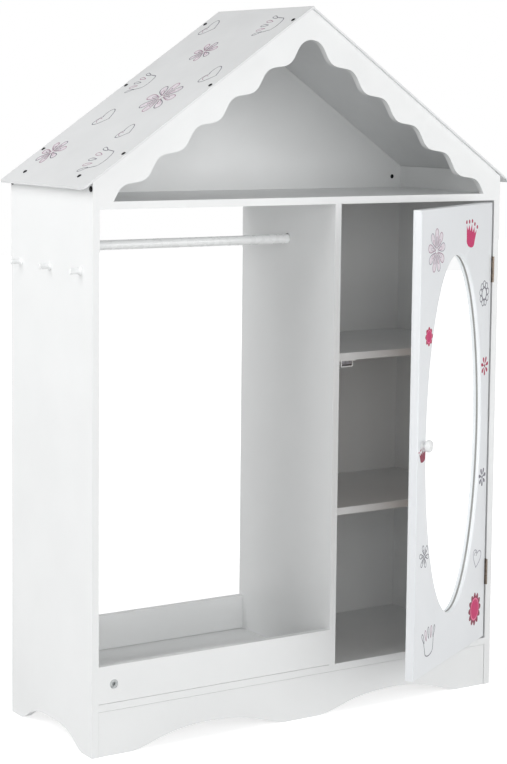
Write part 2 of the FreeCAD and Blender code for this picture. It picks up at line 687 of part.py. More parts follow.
def build_hinge(prefix, middle):
    """A hinge about the height middle; gives back its cabinet screws and its door screws."""
    low = middle - HINGE_HEIGHT / 2
    cabinet_leaf = hinge_leaf(False, low)
    door_leaf = hinge_leaf(True, low)
    pieces[prefix + "_hinge_pin"] = rod(HINGE_PIN, (HINGE_X, HINGE_Y, low), Z_AXIS, HINGE_HEIGHT)
    cabinet_screws = []
    door_screws = []
    for offset in (-HINGE_SCREW_OFFSET, HINGE_SCREW_OFFSET):
        z = middle + offset
        start = (INNER - HINGE_LEAF, HINGE_SCREW_DEPTH, z)
        screw = countersunk_screw(start, X_AXIS, HINGE_SCREW_HEAD, HINGE_SCREW_SHANK, CABINET_HINGE_SCREW)
        cabinet_leaf = cabinet_leaf.cut(screw)
        cabinet_screws.append(fasten(screw, ["right_side_panel"]))
        start = (DOOR_RIGHT + HINGE_LEAF, HINGE_SCREW_DEPTH, z)
        screw = countersunk_screw(start, -X_AXIS, HINGE_SCREW_HEAD, HINGE_SCREW_SHANK, DOOR_HINGE_SCREW)
        door_leaf = door_leaf.cut(screw)
        door_screws.append(fasten(screw, ["door_panel"]))
    pieces[prefix + "_hinge_cabinet_leaf"] = cabinet_leaf
    pieces[prefix + "_hinge_door_leaf"] = door_leaf
    return cabinet_screws, door_screws


def build_hinges():
    cabinet_screws = []
    door_screws = []
    heights = (("upper", DOOR_TOP - HINGE_INSET), ("lower", DOOR_BOTTOM + HINGE_INSET))
    for prefix, middle in heights:
        fixed, moving = build_hinge(prefix, middle)
        cabinet_screws += fixed
        door_screws += moving
    pieces["hinge_cabinet_screws"] = Part.makeCompound(cabinet_screws)
    pieces["hinge_door_screws"] = Part.makeCompound(door_screws)


# ---- door ----
OVAL_ROUND = 2.5           # rounding of the oval's front edge
DOOR_ROUND = 2.0           # softened outer edges of the door's front
MIRROR_CLEARANCE = 0.3     # round the mirror, in its rebate
TAPE_SETBACK = 0.5         # from the edge of the oval to the tape
TAPE_WIDTH = 5.0
CLIP_COUNT = 6
CLIP_SHEET = 1.5
CLIP_WIDTH = 12.0
CLIP_LENGTH = 20.0
CLIP_LAP = 6.0             # of a clip over the mirror
CLIP_CORNER = 3.0
CLIP_SCREW = (2.5, 1.1, 1.3, 9.0)         # head radius, head height, shank radius, length
KNOB_INSET = 18.5          # from the door's free edge
KNOB_RISE = 3.0            # above the middle of the door
KNOB_OUTLINE = [
    (0, 6.4),
    (1.0, 6.2),
    (2.4, 5.0),
    (4.0, 4.7),
    (5.6, 5.6),
    (7.2, 8.2),
    (9.0, 9.9),
    (11.0, 10.3),
    (13.8, 10.1),
    (15.8, 8.9),
    (17.0, 6.4),
    (17.5, 3.0),
]
KNOB_SCREW = (3.6, 1.8, 1.8)              # head radius, head height, shank radius
KNOB_SCREW_GRIP = 9.0      # in the knob


def oval_prism(half_width, half_height, y0, y1):
    """An upright elliptical slab about the middle of the door."""
    centre = Vector(DOOR_MID_X, y0, DOOR_MID_Z)
    tall = centre + Z_AXIS * half_height
    wide = centre + X_AXIS * half_width
    outline = Part.Ellipse(tall, wide, centre).toShape()
    return Part.Face(Part.Wire([outline])).extrude(Vector(0, y1 - y0, 0))


def wider_oval(margin, y0, y1):
    """An oval slab whose rim lies margin outside the door's opening."""
    return oval_prism(OVAL_HALF_WIDTH + margin, OVAL_HALF_HEIGHT + margin, y0, y1)


def is_front_oval(edge):
    return isinstance(edge.Curve, Part.Ellipse) and abs(edge.CenterOfMass.y) < 0.01


def is_front_straight(edge):
    flat = abs(edge.BoundBox.YMin) < 0.01 and abs(edge.BoundBox.YMax) < 0.01
    return flat and isinstance(edge.Curve, Part.Line)


def build_door():
    """The door panel with a rebate in its back for tape, mirror and backing board."""
    panel = board(DOOR_LEFT, DOOR_RIGHT, 0, DOOR_BOARD, DOOR_BOTTOM, DOOR_TOP)
    panel = panel.cut(wider_oval(0, 0, DOOR_BOARD))
    panel = panel.makeFillet(OVAL_ROUND, [edge for edge in panel.Edges if is_front_oval(edge)])
    panel = panel.makeFillet(DOOR_ROUND, [edge for edge in panel.Edges if is_front_straight(edge)])
    mirror_front = MIRROR_LEDGE + MIRROR_TAPE
    mirror_back = mirror_front + MIRROR_SHEET
    rebate = wider_oval(MIRROR_MARGIN + MIRROR_CLEARANCE, MIRROR_LEDGE, DOOR_BOARD)
    tape = wider_oval(TAPE_SETBACK + TAPE_WIDTH, MIRROR_LEDGE, mirror_front)
    tape_opening = wider_oval(TAPE_SETBACK, MIRROR_LEDGE, mirror_front)
    pieces["door_panel"] = panel.cut(rebate)
    pieces["mirror_foam_tape"] = tape.cut(tape_opening)
    pieces["door_mirror"] = wider_oval(MIRROR_MARGIN, mirror_front, mirror_back)
    pieces["mirror_backing_board"] = wider_oval(MIRROR_MARGIN, mirror_back, DOOR_BOARD)


def build_mirror_clips():
    """Plastic clips on the back of the door, spread evenly round the mirror."""
    head_radius, head_height, shank_radius, length = CLIP_SCREW
    half_width = OVAL_HALF_WIDTH + MIRROR_MARGIN
    half_height = OVAL_HALF_HEIGHT + MIRROR_MARGIN
    clips = []
    clip_screws = []
    for index in range(CLIP_COUNT):
        turn = 2 * math.pi * (index + 0.5) / CLIP_COUNT
        rim = Vector(DOOR_MID_X, DOOR_BOARD, DOOR_MID_Z)
        rim += Vector(half_width * math.cos(turn), 0, half_height * math.sin(turn))
        # square to the mirror's rim at that point
        away = Vector(half_height * math.cos(turn), 0, half_width * math.sin(turn)).normalize()
        angle = math.degrees(math.atan2(away.z, away.x))
        outer = CLIP_LENGTH - CLIP_LAP
        clip = board(-CLIP_LAP, outer, 0, CLIP_SHEET, -CLIP_WIDTH / 2, CLIP_WIDTH / 2)
        corners = [edge for edge in clip.Edges if abs(edge.Length - CLIP_SHEET) < 0.01]
        clip = clip.makeFillet(CLIP_CORNER, corners)
        clip.Placement = FreeCAD.Placement(rim, Rotation(Y_AXIS, -angle))
        start = rim + Y_AXIS * CLIP_SHEET + away * (outer - CLIP_LAP)
        screw = pan_screw(start, -Y_AXIS, head_radius, head_height, shank_radius, length)
        clips.append(clip.cut(screw))
        clip_screws.append(fasten(screw, ["door_panel"]))
    pieces["mirror_clips"] = Part.makeCompound(clips)
    pieces["mirror_clip_screws"] = Part.makeCompound(clip_screws)


def build_knob():
    """The knob at the door's free edge, held by a screw from behind."""
    x = DOOR_LEFT + KNOB_INSET
    z = DOOR_MID_Z + KNOB_RISE
    head_radius, head_height, shank_radius = KNOB_SCREW
    length = DOOR_BOARD + KNOB_SCREW_GRIP
    screw = pan_screw((x, DOOR_BOARD, z), -Y_AXIS, head_radius, head_height, shank_radius, length)
    pieces["knob_screw"] = fasten(screw, ["door_panel"])
    pieces["door_knob"] = turned_smooth(KNOB_OUTLINE, (x, 0, z), -Y_AXIS).cut(screw)


DOOR_NODES = (
    "door_panel",
    "door_mirror",
    "mirror_foam_tape",
    "mirror_backing_board",
    "mirror_clips",
    "mirror_clip_screws",
    "door_knob",
    "knob_screw",
    "strike_plate",
    "strike_plate_screw",
    "upper_hinge_door_leaf",
    "lower_hinge_door_leaf",
    "hinge_door_screws",
)


def main():
    build_carcass()
    build_rail_and_pegs()
    build_carcass_fasteners()
    build_roof_screws()
    build_gable_bolts()
    build_catch()
    build_hinges()
    build_door()
    build_mirror_clips()
    build_knob()
    for name, cutters in holes.items():
        for cutter in cutters:
            pieces[name] = pieces[name].cut(cutter)
    for name in DOOR_NODES:
        pieces[name].rotate(Vector(HINGE_X, HINGE_Y, 0), Z_AXIS, DOOR_AJAR_DEG)
    reach = pieces["door_knob"].optimalBoundingBox(True, False).YMin
    middle_y = (reach + DEPTH + ROOF_OVERHANG_END) / 2
    os.makedirs("parts", exist_ok=True)
    for name, shape in pieces.items():
        shape.translate(Vector(0, -middle_y, 0))
        shape.exportStep(os.path.join("parts", name + ".step"))
        print(f"{name}: {len(shape.Solids)} solid(s), valid {shape.isValid()}, {shape.Volume:.0f} mm3")
    print(f"front plane at y = {-middle_y:.3f}")
    print(f"hinge axis at x = {HINGE_X:.3f}, y = {HINGE_Y - middle_y:.3f}")


main()
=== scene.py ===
import json
import math

import bmesh
import bpy
from mathutils import Matrix, Vector


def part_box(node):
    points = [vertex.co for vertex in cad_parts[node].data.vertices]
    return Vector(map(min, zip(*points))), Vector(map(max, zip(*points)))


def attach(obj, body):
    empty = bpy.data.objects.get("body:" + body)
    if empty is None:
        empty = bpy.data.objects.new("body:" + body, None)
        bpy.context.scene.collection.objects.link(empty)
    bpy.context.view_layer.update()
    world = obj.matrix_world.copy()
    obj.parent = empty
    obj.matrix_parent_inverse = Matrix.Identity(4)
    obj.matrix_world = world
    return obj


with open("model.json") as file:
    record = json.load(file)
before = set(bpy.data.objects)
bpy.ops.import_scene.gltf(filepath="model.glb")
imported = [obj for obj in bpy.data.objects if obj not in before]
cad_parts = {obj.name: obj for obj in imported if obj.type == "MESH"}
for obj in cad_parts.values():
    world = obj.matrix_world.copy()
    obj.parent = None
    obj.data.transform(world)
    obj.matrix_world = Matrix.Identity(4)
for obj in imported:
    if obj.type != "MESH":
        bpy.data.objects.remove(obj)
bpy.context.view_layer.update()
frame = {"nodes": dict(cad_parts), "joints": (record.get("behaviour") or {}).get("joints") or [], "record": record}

NODES = frame["nodes"]
HINGE = frame["joints"][0]

# ---- where things are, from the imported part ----
MM = 0.001
HINGE_AXIS = Vector((HINGE["pos_m"][0], HINGE["pos_m"][1], 0))
DOOR_AJAR = math.radians(-HINGE["range_deg"][0])   # the door shuts at the low end of its range
FRONT_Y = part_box("left_side_panel")[0].y

# ---- inks of the printed motifs ----
FUCHSIA = (0.56, 0.012, 0.125)
CRIMSON = (0.40, 0.006, 0.065)
PLUM = (0.22, 0.012, 0.045)
ROSE = (0.80, 0.16, 0.32)
BLUSH = (0.80, 0.74, 0.79)
MAUVE_INK = (0.40, 0.24, 0.32)
GREY_INK = (0.15, 0.145, 0.18)
PALE_GREY_INK = (0.34, 0.33, 0.39)


# ================= materials =================
def new_material(name):
    """A material with its node tree and its Principled shader."""
    material = bpy.data.materials.new(name)
    material.use_nodes = True
    tree = material.node_tree
    return material, tree, tree.nodes["Principled BSDF"]


def surface_point(tree, stretch=(1, 1, 1)):
    """The place on the piece, in metres, that the patterns below are made from."""
    place = tree.nodes.new("ShaderNodeTexCoord").outputs["Object"]
    if tuple(stretch) == (1, 1, 1):
        return place
    mapping = tree.nodes.new("ShaderNodeMapping")
    mapping.inputs["Scale"].default_value = stretch
    tree.links.new(place, mapping.inputs["Vector"])
    return mapping.outputs["Vector"]


def noise(tree, place, size, detail=2.0, roughness=0.5, distortion=0.0):
    """Soft noise whose blobs are about size metres across."""
    node = tree.nodes.new("ShaderNodeTexNoise")
    node.inputs["Scale"].default_value = 1 / size
    node.inputs["Detail"].default_value = detail
    node.inputs["Roughness"].default_value = roughness
    node.inputs["Distortion"].default_value = distortion
    tree.links.new(place, node.inputs["Vector"])
    return node.outputs["Fac"]


def remap(tree, value, low, high, start=0.35, end=0.65):
    """The value taken from start..end to low..high."""
    node = tree.nodes.new("ShaderNodeMapRange")
    node.inputs["From Min"].default_value = start
    node.inputs["From Max"].default_value = end
    node.inputs["To Min"].default_value = low
    node.inputs["To Max"].default_value = high
    tree.links.new(value, node.inputs["Value"])
    return node.outputs["Result"]


def mix_colour(tree, factor, first, second):
    """Two colours mixed by factor; each is a plain colour or another node's output."""
    node = tree.nodes.new("ShaderNodeMix")
    node.data_type = "RGBA"
    tree.links.new(factor, node.inputs["Factor"])
    for socket, colour in ((node.inputs[6], first), (node.inputs[7], second)):
        if isinstance(colour, tuple):
            socket.default_value = colour + (1,)
        else:
            tree.links.new(colour, socket)
    return node.outputs[2]


def add_bump(tree, shader, height, depth, strength=1.0, under=None):
    """Relief of about depth metres from a 0..1 height, on top of an earlier bump."""
    node = tree.nodes.new("ShaderNodeBump")
    node.inputs["Strength"].default_value = strength
    node.inputs["Distance"].default_value = depth
    tree.links.new(height, node.inputs["Height"])
    if under is not None:
        tree.links.new(under, node.inputs["Normal"])
    tree.links.new(node.outputs["Normal"], shader.inputs["Normal"])
    return node.outputs["Normal"]


def scaled(colour, factor):
    """Each channel of the colour times factor."""
    return tuple(channel * factor for channel in colour)


def lacquer(name, colour, roughness, peel_size=0.004, peel_depth=0.00006, cloudiness=0.03):
    """Sprayed satin lacquer on fibreboard: faint orange peel, fine dust and uneven sheen."""
    material, tree, shader = new_material(name)
    place = surface_point(tree)
    clouds = remap(tree, noise(tree, place, 0.16, 3), 0, 1)
    colours = mix_colour(tree, clouds, scaled(colour, 1 - cloudiness), colour)
    specks = remap(tree, noise(tree, place, 0.0011, 2), 0, 1, 0.70, 0.78)
    colours = mix_colour(tree, specks, colours, scaled(colour, 0.86))
    tree.links.new(colours, shader.inputs["Base Color"])
    smears = remap(tree, noise(tree, place, 0.05, 4, 0.6, 0.8), roughness - 0.05, roughness + 0.07)
    tree.links.new(smears, shader.inputs["Roughness"])
    peel = add_bump(tree, shader, noise(tree, place, peel_size, 2), peel_depth, 0.6)
    add_bump(tree, shader, noise(tree, place, 0.0007, 3), 0.00001, 0.6, peel)
    shader.inputs["Coat Weight"].default_value = 0.12
    shader.inputs["Coat Roughness"].default_value = 0.2
    return material


def painted_turning(name, colour, roughness):
    """Gloss paint on turned wood, with the grain just showing through along x, as on the rail."""
    material, tree, shader = new_material(name)
    place = surface_point(tree)
    along = surface_point(tree, (0.05, 1.0, 1.0))
    clouds = remap(tree, noise(tree, place, 0.05, 3), 0, 1)
    tree.links.new(mix_colour(tree, clouds, scaled(colour, 0.96), colour), shader.inputs["Base Color"])
    tree.links.new(
        remap(tree, noise(tree, place, 0.012, 3), roughness - 0.05, roughness + 0.06),
        shader.inputs["Roughness"],
    )
    grain = add_bump(tree, shader, noise(tree, along, 0.0012, 3), 0.000003, 0.3)
    add_bump(tree, shader, noise(tree, place, 0.004, 2), 0.000002, 0.3, grain)
    shader.inputs["Coat Weight"].default_value = 0.25
    shader.inputs["Coat Roughness"].default_value = 0.12
    return material


def bare_wood(name):
    """Bare beech of the dowels: pale fine grain with short dark flecks."""
    material, tree, shader = new_material(name)
    along = surface_point(tree, (1.0, 1.0, 0.12))
    grain = remap(tree, noise(tree, along, 0.0009, 4, 0.6), 0, 1)
    wood = mix_colour(tree, grain, (0.50, 0.33, 0.18), (0.70, 0.51, 0.31))
    flecks = remap(tree, noise(tree, along, 0.0004, 2), 0, 1, 0.64, 0.7)
    tree.links.new(mix_colour(tree, flecks, wood, (0.30, 0.18, 0.09)), shader.inputs["Base Color"])
    tree.links.new(remap(tree, grain, 0.55, 0.7, 0, 1), shader.inputs["Roughness"])
    add_bump(tree, shader, grain, 0.00005, 0.6)
    return material


def metal(name, bright, dark, roughness, blotch, stretch=(1, 1, 1)):
    """Plated metal: blotches of tarnish between two tones, and fine scratches drawn out by stretch."""
    material, tree, shader = new_material(name)
    place = surface_point(tree)
    tarnish = remap(tree, noise(tree, place, blotch, 4, 0.6, 0.4), 0, 1, 0.42, 0.68)
    tree.links.new(mix_colour(tree, tarnish, bright, dark), shader.inputs["Base Color"])
    shader.inputs["Metallic"].default_value = 1.0
    scratches = noise(tree, surface_point(tree, stretch), 0.0006, 3, 0.6)
    tree.links.new(
        remap(tree, scratches, roughness - 0.08, roughness + 0.10), shader.inputs["Roughness"]
    )
    add_bump(tree, shader, scratches, 0.00002, 0.6)
    return material


def moulded_plastic(name, colour):
    """White moulded plastic: spark-eroded texture and a slight waxiness."""
    material, tree, shader = new_material(name)
    place = surface_point(tree)
    clouds = remap(tree, noise(tree, place, 0.01, 2), 0, 1)
    tree.links.new(mix_colour(tree, clouds, scaled(colour, 0.95), colour), shader.inputs["Base Color"])
    grain = noise(tree, place, 0.0005, 2)
    tree.links.new(remap(tree, grain, 0.42, 0.52), shader.inputs["Roughness"])
    add_bump(tree, shader, grain, 0.00002, 0.8)
    shader.inputs["Subsurface Weight"].default_value = 0.08
    shader.inputs["Subsurface Radius"].default_value = (0.002, 0.002, 0.0015)
    return material


def sintered_magnet(name):
    """The dark, grainy ceramic of the catch's magnet."""
    material, tree, shader = new_material(name)
    grain = noise(tree, surface_point(tree), 0.0006, 4, 0.7)
    tree.links.new(
        mix_colour(tree, remap(tree, grain, 0, 1), (0.02, 0.02, 0.02), (0.07, 0.065, 0.06)),
        shader.inputs["Base Color"],
    )
    tree.links.new(remap(tree, grain, 0.5, 0.75), shader.inputs["Roughness"])
    add_bump(tree, shader, grain, 0.00004, 0.7)
    return material


def silvered_glass(name):
    """The mirror: clean silvered glass with very faint smears."""
    material, tree, shader = new_material(name)
    place = surface_point(tree)
    smears = noise(tree, place, 0.09, 4, 0.55, 1.2)
    tree.links.new(
        mix_colour(tree, remap(tree, smears, 0, 1), (0.93, 0.94, 0.94), (0.96, 0.965, 0.965)),
        shader.inputs["Base Color"],
    )
    tree.links.new(remap(tree, smears, 0.0, 0.02, 0.5, 0.8), shader.inputs["Roughness"])
    shader.inputs["Metallic"].default_value = 1.0
    return material


def foam_tape(name):
    """The edge of grey foam tape round the mirror: open cells, no shine; its dark grey is partly the tape's own
    colour and partly painted shade of the narrow gap between the oval's ledge and the mirror.
    """
    material, tree, shader = new_material(name)
    cells = noise(tree, surface_point(tree), 0.0004, 3, 0.7)
    # dark greys: the tape's own grey, made darker as painted shade of the gap that the tape sits in
    tones = mix_colour(tree, remap(tree, cells, 0, 1), (0.26, 0.26, 0.25), (0.38, 0.38, 0.37))
    tree.links.new(tones, shader.inputs["Base Color"])
    tree.links.new(remap(tree, cells, 0.85, 0.98), shader.inputs["Roughness"])
    add_bump(tree, shader, cells, 0.0001, 0.7)
    return material


def hardboard(name):
    """Brown hardboard: fine pressed fibres, smooth side outwards."""
    material, tree, shader = new_material(name)
    place = surface_point(tree)
    fibres = noise(tree, place, 0.0014, 5, 0.7, 1.5)
    clouds = remap(tree, noise(tree, place, 0.04, 3), 0, 1)
    tones = mix_colour(tree, remap(tree, fibres, 0, 1), (0.20, 0.115, 0.06), (0.33, 0.20, 0.11))
    tree.links.new(mix_colour(tree, clouds, tones, (0.27, 0.16, 0.085)), shader.inputs["Base Color"])
    tree.links.new(remap(tree, fibres, 0.5, 0.68), shader.inputs["Roughness"])
    add_bump(tree, shader, fibres, 0.00004, 0.6)
    return material


def ink(name, colour):
    """Screen-printed ink: solid, with tiny pinholes and a slightly drier sheen than the lacquer."""
    material, tree, shader = new_material(name)
    place = surface_point(tree)
    depth = remap(tree, noise(tree, place, 0.006, 3), 0, 1)
    solid = mix_colour(tree, depth, scaled(colour, 0.86), colour)
    pinholes = remap(tree, noise(tree, place, 0.0005, 1), 0, 0.6, 0.70, 0.80)
    light = tuple(0.6 * channel + 0.3 for channel in colour)
    tree.links.new(mix_colour(tree, pinholes, solid, light), shader.inputs["Base Color"])
    tree.links.new(remap(tree, depth, 0.42, 0.55, 0, 1), shader.inputs["Roughness"])
    add_bump(tree, shader, noise(tree, place, 0.0009, 2), 0.00001, 0.5)
    shader.inputs["Specular IOR Level"].default_value = 0.3
    return material


def build_materials():
    """One material for each slot of the record."""
    return {
        "painted_board": lacquer("painted_board", (0.80, 0.81, 0.81), 0.40),
        "door_board": lacquer("door_board", (0.78, 0.80, 0.82), 0.36),
        "roof_sheet": lacquer("roof_sheet", (0.73, 0.74, 0.745), 0.42, 0.006, 0.00008, 0.05),
        "painted_wood": painted_turning("painted_wood", (0.82, 0.83, 0.83), 0.28),
        "bare_wood": bare_wood("bare_wood"),
        "cam_metal": metal("cam_metal", (0.40, 0.42, 0.42), (0.20, 0.21, 0.21), 0.40, 0.004),
        "dark_screw": metal("dark_screw", (0.030, 0.030, 0.032), (0.012, 0.012, 0.013), 0.40, 0.002),
        "steel": metal("steel", (0.60, 0.62, 0.70), (0.42, 0.43, 0.47), 0.42, 0.005),
        "magnet": sintered_magnet("magnet"),
        "hinge_brass": metal(
            "hinge_brass", (0.19, 0.155, 0.125), (0.085, 0.072, 0.062), 0.38, 0.006, (1, 1, 0.08)
        ),
        "white_plastic": moulded_plastic("white_plastic", (0.80, 0.80, 0.79)),
        # foam tape round the mirror: its own grey, made darker as painted shade of the gap between ledge and
        # mirror
        "foam_tape": foam_tape("foam_tape"),
        "backing_board": hardboard("backing_board"),
        "mirror": silvered_glass("mirror"),
    }


def dress_cad_nodes(materials):
    """Give each CAD node its slot's material."""
    for part in frame["record"]["subparts"]:
        piece = NODES[part["node"]]
        piece.data.materials.clear()
        piece.data.materials.append(materials[part["material_slot"]])


BOARD_SLOTS = ("painted_board", "door_board")
BOARD_EDGE = 0.8 * MM      # how far the lacquered arrises are rounded
ARRIS_ANGLE = 50           # degrees; flatter edges stay as they are
WELD_DISTANCE = 0.01 * MM  # closer vertices are one


def soften_boards():
    """Round the arrises of the boards a little, as lacquer does."""
    for part in frame["record"]["subparts"]:
        if part["material_slot"] not in BOARD_SLOTS:
            continue
        piece = NODES[part["node"]]
        weld = piece.modifiers.new("weld", "WELD")
        weld.merge_threshold = WELD_DISTANCE
        bevel = piece.modifiers.new("arris", "BEVEL")
        bevel.width = BOARD_EDGE
        bevel.segments = 2
        bevel.limit_method = "ANGLE"
        bevel.angle_limit = math.radians(ARRIS_ANGLE)
        bevel.harden_normals = True


# ================= printed motifs =================
INK_THICKNESS = 0.08 * MM
LINE = 1.7 * MM            # width of the drawn lines


def closed_curve(point, count):
    """count points of a closed curve; point takes 0..1."""
    return [Vector(point(step / count)) for step in range(count)]


def add_slab(mesh, outline, place):
    """A thin closed slab with the given outline, on the plane place; the number of its faces."""
    low = [mesh.verts.new(place @ Vector((p.x, p.y, 0))) for p in outline]
    high = [mesh.verts.new(place @ Vector((p.x, p.y, INK_THICKNESS))) for p in outline]
    count = len(outline)
    mesh.faces.new(high)
    mesh.faces.new(list(reversed(low)))
    for index in range(count):
        after = (index + 1) % count
        mesh.faces.new((low[index], low[after], high[after], high[index]))
    return count + 2


def add_ribbon(mesh, path, width, place, closed=True):
    """A thin closed ribbon that follows a path in the plane place; the number of its faces."""
    count = len(path)
    rings = []
    for index, point in enumerate(path):
        before = path[index - 1] if closed or index else point
        after = path[(index + 1) % count] if closed or index < count - 1 else point
        along = (after - before).normalized()
        across = Vector((-along.y, along.x)) * (width / 2)
        corners = []
        for side, height in ((1, 0), (-1, 0), (-1, INK_THICKNESS), (1, INK_THICKNESS)):
            spot = point + across * side
            corners.append(mesh.verts.new(place @ Vector((spot.x, spot.y, height))))
        rings.append(corners)
    made = 0
    for index in range(count if closed else count - 1):
        ring = rings[index]
        following = rings[(index + 1) % count]
        for corner in range(4):
            beside = (corner + 1) % 4
            mesh.faces.new((ring[corner], following[corner], following[beside], ring[beside]))
            made += 1
    if not closed:
        mesh.faces.new(rings[0])
        mesh.faces.new(list(reversed(rings[-1])))
        made += 2
    return made


class Print:
    """One printed motif: slabs and ribbons in a few inks, drawn in a plane."""

    def __init__(self, name, place):
        self.name = name
        self.place = place
        self.mesh = bmesh.new()
        self.inks = []
        self.ink_of_face = []

    def slot_of(self, material):
        if material not in self.inks:
            self.inks.append(material)
        return self.inks.index(material)

    def fill(self, outline, material):
        made = add_slab(self.mesh, outline, self.place)
        self.ink_of_face += [self.slot_of(material)] * made

    def line(self, path, material, width=LINE, closed=True):
        made = add_ribbon(self.mesh, path, width, self.place, closed)
        self.ink_of_face += [self.slot_of(material)] * made

    def finish(self, body):
        data = bpy.data.meshes.new(self.name)
        bmesh.ops.recalc_face_normals(self.mesh, faces=self.mesh.faces)
        self.mesh.to_mesh(data)
        self.mesh.free()
        for polygon, ink_index in zip(data.polygons, self.ink_of_face):
            polygon.material_index = ink_index
        for material in self.inks:
            data.materials.append(material)
        piece = bpy.data.objects.new(self.name, data)
        bpy.context.scene.collection.objects.link(piece)
        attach(piece, body)


def turned_path(path, angle, offset=(0, 0)):
    """A path turned about the motif's middle, then moved."""
    spin = Matrix.Rotation(angle, 2)
    return [spin @ Vector(point) + Vector(offset) for point in path]


def petal(length, width, count=20):
    """A rounded petal that starts at the origin and points up."""
    def point(step):
        turn = 2 * math.pi * step
        fullness = 0.62 + 0.38 * math.sin(turn)
        return (width / 2 * math.cos(turn) * fullness, length / 2 * (1 + math.sin(turn)))
    return closed_curve(point, count)


def scalloped_disc(radius, lobes, depth, count_per_lobe=8):
    """A disc with round lobes; depth is the share of the radius that the notches take."""
    def point(step):
        turn = 2 * math.pi * step
        reach = radius * (1 - depth + depth * abs(math.cos(lobes * turn / 2)))
        return (reach * math.sin(turn), reach * math.cos(turn))
    return closed_curve(point, lobes * count_per_lobe)


def circle(radius, count=24):
    return closed_curve(
        lambda step: (radius * math.cos(2 * math.pi * step), radius * math.sin(2 * math.pi * step)),
        count,
    )


def heart(width, height, count=40):
    """The usual heart curve, scaled to a width and a height."""
    def point(step):
        turn = 2 * math.pi * step
        across = math.sin(turn) ** 3
        up = (13 * math.cos(turn) - 5 * math.cos(2 * turn) - 2 * math.cos(3 * turn)) / 16
        return (width / 2 * across, height / 2 * up)
    return closed_curve(point, count)


def crown_base(width, height, count=8):
    """The rounded underside of a crown, from its left shoulder to its right."""
    path = []
    for index in range(count + 1):
        turn = math.pi * index / count
        across = -width * 0.36 * math.cos(turn)
        down = height * (0.24 + 0.26 * math.sin(turn) ** 0.7)
        path.append(Vector((across, -down)))
    return path


def crown(width, height, points=5):
    """A rounded bowl with short pointed tips; its outline and the places of its beads."""
    half = width / 2
    outline = crown_base(width, height)
    tips = []
    for index in range(points):
        share = 1 - 2 * index / (points - 1)
        tips.append(Vector((half * share * 0.92, height * (0.18 + 0.12 * (1 - abs(share))))))
    for index, tip in enumerate(tips):
        outline.append(tip)
        if index < points - 1:
            notch = (tip + tips[index + 1]) / 2
            outline.append(Vector((notch.x * 0.88, height * 0.03)))
    beads = [tip + Vector((tip.x * 0.06, height * 0.10)) for tip in tips]
    return outline, beads


def draw_outlined_flower(art, radius, petals, inks, line=LINE, wash=None):
    """Long petals round a small ring, outlined in two inks that take turns, over a pale wash."""
    lift = Matrix.Translation((0, 0, INK_THICKNESS))
    ground = art.place
    for index in range(petals):
        turn = 2 * math.pi * index / petals
        start = Vector((-math.sin(turn), math.cos(turn))) * radius * 0.20
        shape = turned_path(petal(radius * 0.80, radius * 0.52), turn, start)
        if wash:
            art.fill(shape, wash)
            art.place = ground @ lift
        art.line(shape, inks[index % 2], line)
        inner = petal(radius * 0.44, radius * 0.20, 12)
        art.line(turned_path(inner, turn, start), inks[(index + 1) % 2], line * 0.6)
        art.place = ground
    art.line(circle(radius * 0.15), inks[0], line)


def draw_bead_flower(art, radius, beads, material):
    """A ring of small open circles round an open middle."""
    bead = radius * math.sin(math.pi / beads) * 0.72
    for index in range(beads):
        turn = 2 * math.pi * index / beads
        middle = Vector((math.sin(turn), math.cos(turn))) * (radius - bead)
        art.line(turned_path(circle(bead, 12), 0, middle), material)
    art.line(circle(radius * 0.46), material)


def draw_solid_flower(art, radius, lobes, outer, ring, middle):
    """A scalloped disc with a paler ring round a solid middle."""
    art.fill(scalloped_disc(radius, lobes, 0.26), outer)
    ground = art.place
    art.place = ground @ Matrix.Translation((0, 0, INK_THICKNESS))
    art.fill(circle(radius * 0.68, 32), ring)
    art.place = ground @ Matrix.Translation((0, 0, 2 * INK_THICKNESS))
    art.fill(circle(radius * 0.58, 32), middle)
    art.place = ground


def draw_petal_flower(art, radius, petals, material, eye):
    """Solid petals that leave gaps between them, round a small eye."""
    for index in range(petals):
        turn = 2 * math.pi * (index + 0.5) / petals
        start = Vector((-math.sin(turn), math.cos(turn))) * radius * 0.24
        art.fill(turned_path(petal(radius * 0.76, radius * 0.52, 16), turn, start), material)
    art.fill(circle(radius * 0.17, 12), eye)


def draw_solid_crown(art, width, height, body_ink, bead_ink):
    """A filled crown with a bead over each tip."""
    outline, beads = crown(width, height)
    art.fill(outline, body_ink)
    for middle in beads:
        art.fill(turned_path(circle(width * 0.065, 12), 0, middle), bead_ink)


def draw_open_crown(art, width, height, body_ink, loop_ink):
    """An open bowl under a fan of five rounded loops."""
    loops = 5
    bowl = crown_base(width, height)
    left = Vector((-width * 0.42, height * 0.06))
    right = Vector((width * 0.42, height * 0.06))
    art.line([left] + bowl + [right], body_ink, closed=False)
    for index in range(loops):
        share = 2 * index / (loops - 1) - 1
        foot = Vector((width * 0.38 * share, height * (0.02 + 0.06 * (1 - abs(share)))))
        lean = -share * math.radians(24)
        loop = turned_path(petal(height * 0.40, width * 0.17, 14), lean, foot)
        art.line(loop, loop_ink if index % 2 else body_ink, LINE * 0.9)


def draw_heart(art, width, height, ink_outer, ink_curl):
    """An open heart with a short curl inside its left lobe."""
    art.line(heart(width, height), ink_outer)
    curl = []
    for step in range(12):
        turn = math.radians(200 - 22 * step)
        reach = width * (0.16 - 0.008 * step)
        across = -width * 0.18 + reach * math.cos(turn)
        up = height * 0.12 + reach * math.sin(turn)
        curl.append(Vector((across, up)))
    art.line(curl, ink_curl, LINE * 0.8, closed=False)


